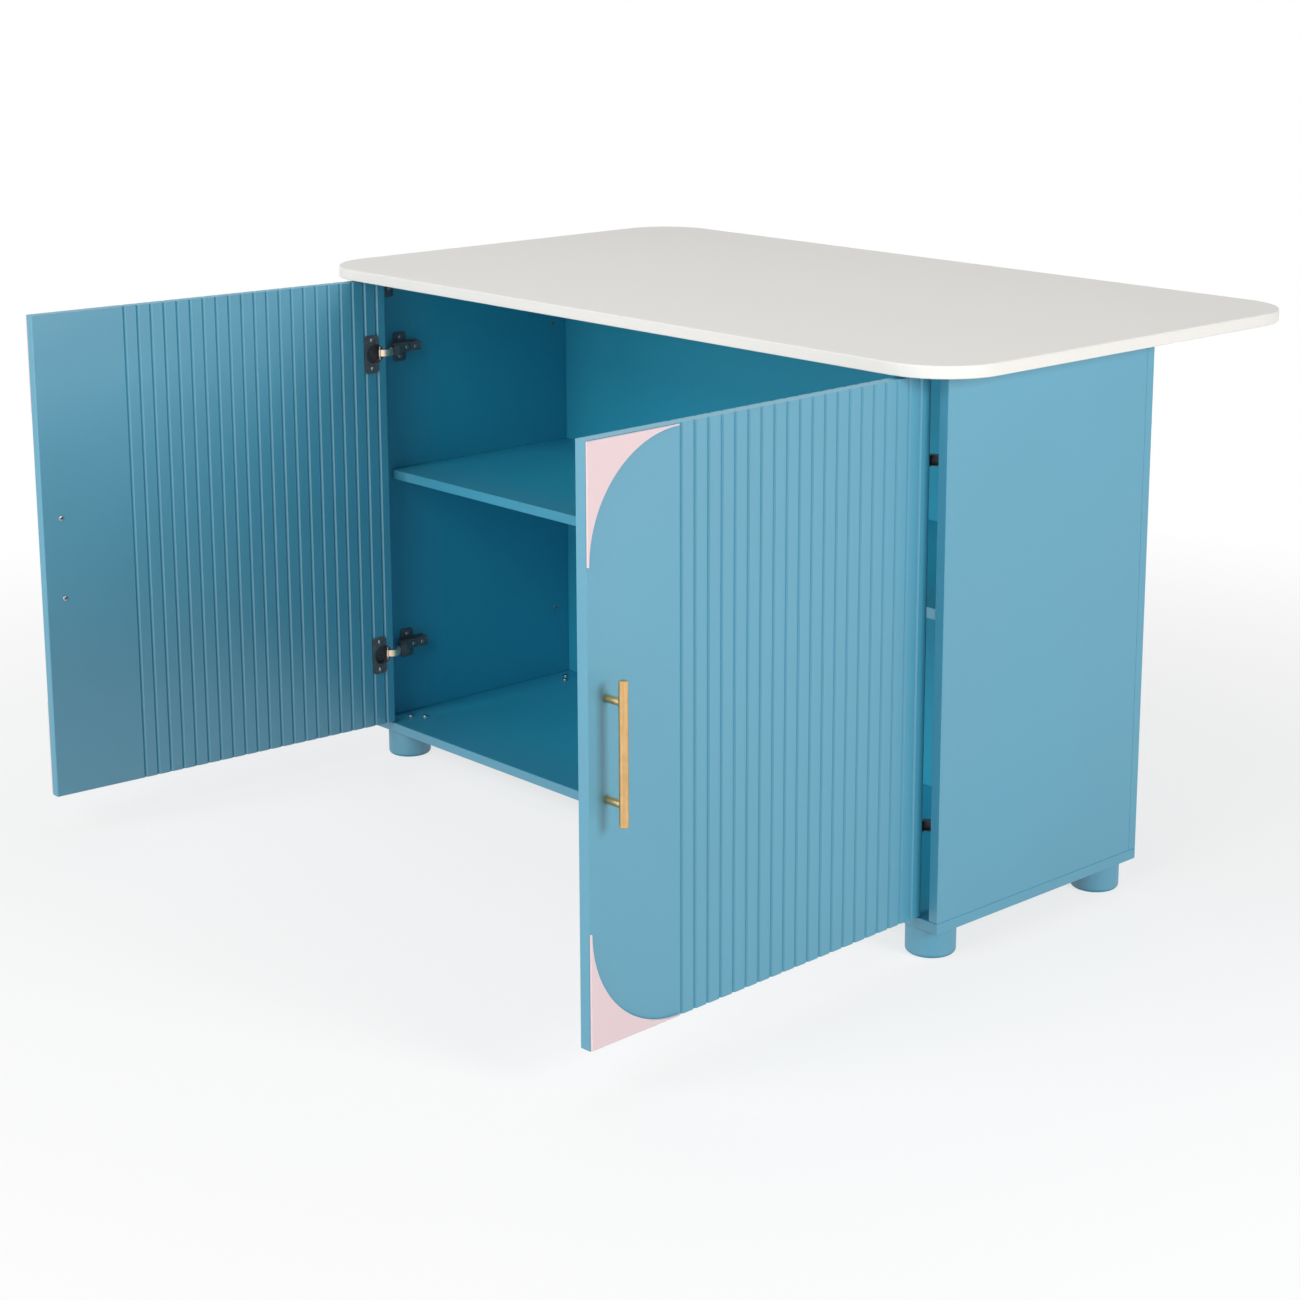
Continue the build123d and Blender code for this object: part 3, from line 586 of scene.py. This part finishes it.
def turned(outline):
    """A closed mesh: an outline of radius and height, spun from its top centre to its bottom one."""
    rings = outline[1:-1]
    points = [(0, 0, outline[0][1])]
    for radius, height in rings:
        for step in range(turned_steps):
            angle = 2 * pi * step / turned_steps
            points.append((radius * cos(angle), radius * sin(angle), height))
    points.append((0, 0, outline[-1][1]))
    faces = []
    last = len(points) - 1
    bottom = 1 + (len(rings) - 1) * turned_steps
    for step in range(turned_steps):
        beside = (step + 1) % turned_steps
        faces.append((0, 1 + step, 1 + beside))
        for ring in range(len(rings) - 1):
            upper = 1 + ring * turned_steps
            lower = upper + turned_steps
            faces.append((upper + step, lower + step, lower + beside, upper + beside))
        faces.append((last, bottom + beside, bottom + step))
    mesh = bpy.data.meshes.new("turned")
    mesh.from_pydata(points, [], faces)
    return mesh


print("turned parts have", turned_steps, "sides")

# %% [markdown]
# The tool's recess is a tapered prism, a cross for a screwdriver or a hexagon for a key. It could be
# extruded from a curve, but it has few corners, so they are written out too. A corner that lies exactly on
# an edge of the head makes faces without area, so the hexagon is turned a little.

# %% Shape a recess
hexagon_turn = radians(2)


def cross_outline(reach, width):
    """The twelve corners of a cross."""
    half = width / 2
    corner = [(reach, -half), (reach, half), (half, half)]
    turns = ((1, 0), (0, 1), (-1, 0), (0, -1))
    return [(x * c - y * s, x * s + y * c) for c, s in turns for x, y in corner]


def hexagon_outline(across):
    """The six corners of a hexagon of this width across its flats."""
    reach = across / 3 ** 0.5
    angles = [pi / 3 * step + hexagon_turn for step in range(6)]
    return [(reach * cos(angle), reach * sin(angle)) for angle in angles]


def recess_tool(outline, top, bottom, taper):
    """A prism with this outline at its top, drawn in by the taper at its bottom."""
    count = len(outline)
    points = [(x, y, top) for x, y in outline] + [(x * taper, y * taper, bottom) for x, y in outline]
    sides = [(step, step + count, (step + 1) % count + count, (step + 1) % count) for step in range(count)]
    ends = [tuple(range(count)), tuple(reversed(range(count, 2 * count)))]
    mesh = bpy.data.meshes.new("recess")
    mesh.from_pydata(points, [], sides + ends)
    return mesh


print("a cross has", len(cross_outline(1, 0.4)), "corners and a hexagon", len(hexagon_outline(1)))

# %% [markdown]
# The prism is taken out of the head with a Boolean modifier. The modifier could stay on the screw, but
# then its tool would have to stay in the scene too. So the result is kept as a new mesh and the helpers
# go.

# %% Cut a recess
def cut_recess(mesh, tool):
    """The mesh with the tool's shape taken out."""
    blank = bpy.data.objects.new("blank", mesh)
    cutter = bpy.data.objects.new("cutter", tool)
    for part in (blank, cutter):
        bpy.context.scene.collection.objects.link(part)
    cut = blank.modifiers.new("recess", "BOOLEAN")
    cut.operation = "DIFFERENCE"
    cut.object = cutter
    depsgraph = bpy.context.evaluated_depsgraph_get()
    result = bpy.data.meshes.new_from_object(blank.evaluated_get(depsgraph))
    bpy.data.objects.remove(blank)
    bpy.data.objects.remove(cutter)
    return result


print("cutting ready")

# %% [markdown]
# Wood screws have a domed head, and the bolts have a flat head with an eased edge. A Bevel modifier could
# round the edges, but the outline is spun anyway, so it draws the dome or the eased edge itself. All the
# numbers are shares of the measured head, so one recipe fits every size.

# %% Outline of a head
dome_share = 0.65
dome_steps = 8
ease_share = 0.22
ease_middle = 0.3


def domed_rim(radius, height):
    """The outline of a domed head, from near its top to its edge."""
    angles = [pi / 2 * step / dome_steps for step in range(1, dome_steps + 1)]
    return [(radius * sin(angle), height * (1 - dome_share + dome_share * cos(angle))) for angle in angles]


def eased_rim(radius, height):
    """The outline of a flat head with an eased edge."""
    ease = height * ease_share
    middle = ease * ease_middle
    return [(radius - ease, height), (radius - middle, height - middle), (radius, height - ease)]


print("a dome takes", dome_share, "of its head's height and an eased edge", ease_share)

# %% [markdown]
# A whole screw is a head on a shank with an eased tip. Wood screws get the cross, which narrows and so may
# go a little into the shank. Bolts get the hexagon socket, which stays inside the head. Both tools start
# above the head, because a Boolean with faces that lie on each other is unreliable.

# %% Make one screw
tool_rise = 1.2
cross_reach = 0.56
cross_width = 0.24
cross_depth = 1.3
cross_taper = 0.55
hexagon_width = 0.84
hexagon_depth = 0.85
hexagon_taper = 0.97
tip_share = 0.7
tip_ease = 0.5


def screw_mesh(sizes, socket):
    """One screw standing on its seat: a domed head with a cross, or a flat head with a hexagon socket."""
    radius, height = sizes["head_radius"], sizes["head_height"]
    shank, length = sizes["shank_radius"], sizes["shank_length"]
    top = height * tool_rise
    if socket == "cross":
        rim = domed_rim(radius, height)
        outline = cross_outline(radius * cross_reach, radius * cross_width)
        tool = recess_tool(outline, top, height * (1 - cross_depth), cross_taper)
    else:
        rim = eased_rim(radius, height)
        outline = hexagon_outline(radius * hexagon_width)
        tool = recess_tool(outline, top, height * (1 - hexagon_depth), hexagon_taper)
    tip = shank * tip_share
    neck = [(radius, 0), (shank, 0)]
    end = [(shank, tip - length), (shank - tip * tip_ease, -length), (0, -length)]
    return cut_recess(turned([(0, height)] + rim + neck + end), tool)


print("a cross goes", cross_depth, "of its head deep and a hexagon", hexagon_depth)

# %% [markdown]
# Each group of screws becomes one mesh that stands for its plain solids. One screw is made for each group
# and then repeated. Copies of one object would work too, but one mesh is easier to hand on. The recesses
# are turned by an odd angle from screw to screw, as a fitter leaves them.

# %% Fit a group of screws
from mathutils import Matrix

screw_turn = 37
crease = radians(35)


def facing(direction):
    """The turn that points an upright part along a direction."""
    return direction.to_track_quat("Z", "Y").to_matrix().to_4x4()


def fit_screws(node, body, socket):
    """Replace a piece's plain screws by cut ones, at the same spots."""
    shape = bmesh.new()
    places = [measure_screw(points) for points in loose_solids(node)]
    pattern = screw_mesh(places[0], socket)
    for count, place in enumerate(places):
        spun = Matrix.Rotation(radians(screw_turn * count), 4, "Z")
        screw = pattern.copy()
        screw.transform(Matrix.Translation(place["seat"]) @ facing(place["out"]) @ spun)
        shape.from_mesh(screw)
    mesh = bpy.data.meshes.new(f"cut_{node}")
    shape.to_mesh(mesh)
    shape.free()
    mesh.shade_smooth()
    mesh.set_sharp_from_angle(angle=crease)
    mesh.materials.append(zinc_steel)
    screws = bpy.data.objects.new(f"cut_{node}", mesh)
    bpy.context.scene.collection.objects.link(screws)
    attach(screws, body)
    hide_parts(node)
    return len(places)


print("each screw is turned", screw_turn, "degrees on from the last")

# %% [markdown]
# The screws of the hinge plates, arms, brackets, bottom and feet stay with the cabinet. Those of the cups
# and handles are screwed into a door, so they have to move when it swings. Each group is told what it
# rides on.

# %% Put the screws in
fitted = {}
for node in ("plate_screws", "arm_screws", "bracket_screws", "bottom_screws"):
    fitted[node] = fit_screws(node, "cabinet", "cross")
for node in ("foot_bolts", "back_bolts"):
    fitted[node] = fit_screws(node, "cabinet", "hexagon")
for side in ("left", "right"):
    for kind in ("cup_screws", "handle_screws"):
        fitted[f"{side}_{kind}"] = fit_screws(f"{side}_{kind}", f"{side}_door", "cross")
print("screws and bolts:", fitted)

# %% [markdown]
# ## Slots in the barrel nuts
# A bolt through the back panel pulls against a barrel nut that lies in the side panel. Its end shows
# inside the cabinet, with a slot so that a screwdriver can turn the nut's thread towards the bolt. The
# slots could be cut one by one, but the nuts are one mesh, so the prisms for all the slots are joined into
# one tool.

# %% Shape the slots
slot_depth = 0.002
slot_turn = radians(25)
slot_reach = 0.72
slot_width = 0.32

slots = bmesh.new()
nuts = loose_solids("barrel_nuts")
for points in nuts:
    low = Vector(points.min(axis=0))
    high = Vector(points.max(axis=0))
    middle = (low + high) / 2
    half_size = (high - low) / 2
    inward = Vector((-np.sign(middle.x), 0, 0))
    reach = half_size.z * slot_reach
    half = half_size.z * slot_width / 2
    outline = [(reach, -half), (reach, half), (-reach, half), (-reach, -half)]
    prism = recess_tool(outline, slot_depth, -slot_depth, 1.0)
    end = Matrix.Translation(middle + inward * half_size.x)
    prism.transform(end @ facing(inward) @ Matrix.Rotation(slot_turn, 4, "Z"))
    slots.from_mesh(prism)
slot_tool = bpy.data.meshes.new("slots")
slots.to_mesh(slot_tool)
slots.free()
print("slots:", len(nuts), "of", slot_depth * mm_per_metre, "mm depth")

# %% [markdown]
# The nuts keep their solids, which already hold the hole for the bolt, and only the slots are cut. The cut
# is made in a copy, which stands for the plain nuts and keeps their finish.

# %% Slot the barrel nuts
slotted = cut_recess(nodes["barrel_nuts"].data.copy(), slot_tool)
slotted_nuts = bpy.data.objects.new("slotted_barrel_nuts", slotted)
bpy.context.scene.collection.objects.link(slotted_nuts)
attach(slotted_nuts, "cabinet")
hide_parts("barrel_nuts")
print("slotted nuts have", len(slotted.polygons), "faces")

# %% [markdown]
# Standard view keeps each colour as it was mixed. A film-like view would be gentler on the bright parts,
# but it would shift the paints.

# %% View
import json

bpy.context.scene.view_settings.view_transform = "Standard"
